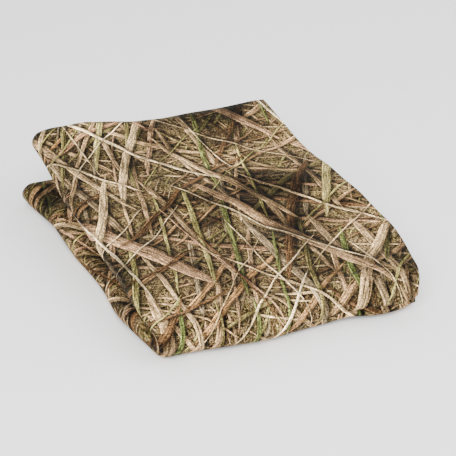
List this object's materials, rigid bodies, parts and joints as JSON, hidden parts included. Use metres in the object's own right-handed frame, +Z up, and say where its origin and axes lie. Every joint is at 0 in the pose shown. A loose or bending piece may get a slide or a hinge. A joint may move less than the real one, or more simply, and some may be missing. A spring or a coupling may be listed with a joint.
{
  "type": "folded blind cloth",
  "caption": "Reed-camouflage woven blind cloth folded into a flat two-layer pack, opening at one soft fold along the front.",
  "frame": {"origin": "on the ground under the middle of the folded pack's bounding box", "axes": "+X along the front fold towards the selvedge side, +Y from the front fold to the open back, +Z up"},
  "size_m": [0.343, 0.4572, 0.0929],
  "materials": {
    "printed_cloth": "matt woven cloth with a printed dry-reed camouflage pattern",
    "selvedge": "denser woven edge of the same printed cloth"
  },
  "bodies": {
    "lower_half": {"lower_panel_1": "printed_cloth", "lower_panel_2": "printed_cloth", "lower_panel_3": "printed_cloth", "lower_panel_4": "printed_cloth", "lower_left_fold_outer": "printed_cloth", "lower_left_fold_inner": "printed_cloth", "lower_right_fold": "printed_cloth", "lower_selvedge_1": "selvedge", "lower_selvedge_2": "selvedge", "lower_back_fold_1": "printed_cloth", "lower_back_fold_2": "printed_cloth", "lower_back_fold_3": "printed_cloth", "lower_back_fold_4": "printed_cloth", "bend_panel_1": "printed_cloth", "bend_panel_2": "printed_cloth", "bend_panel_3": "printed_cloth", "bend_panel_4": "printed_cloth", "bend_left_fold_outer": "printed_cloth", "bend_left_fold_inner": "printed_cloth", "bend_right_fold": "printed_cloth", "bend_selvedge_1": "selvedge", "bend_selvedge_2": "selvedge"},
    "upper_half": {"upper_panel_1": "printed_cloth", "upper_panel_2": "printed_cloth", "upper_panel_3": "printed_cloth", "upper_panel_4": "printed_cloth", "upper_left_fold_outer": "printed_cloth", "upper_left_fold_inner": "printed_cloth", "upper_right_fold": "printed_cloth", "upper_selvedge_1": "selvedge", "upper_selvedge_2": "selvedge", "upper_back_fold_1": "printed_cloth", "upper_back_fold_2": "printed_cloth", "upper_back_fold_3": "printed_cloth", "upper_back_fold_4": "printed_cloth"}
  },
  "joints": [
    {"name": "front_fold", "type": "hinge", "parent": "lower_half", "child": "upper_half", "pos_m": [0, -0.20467, 0.02395], "axis": [1, 0, 0], "range_deg": [0, 173.8], "deforming": ["bend_panel_1", "bend_panel_2", "bend_panel_3", "bend_panel_4", "bend_left_fold_outer", "bend_left_fold_inner", "bend_right_fold", "bend_selvedge_1", "bend_selvedge_2"]}
  ]
}
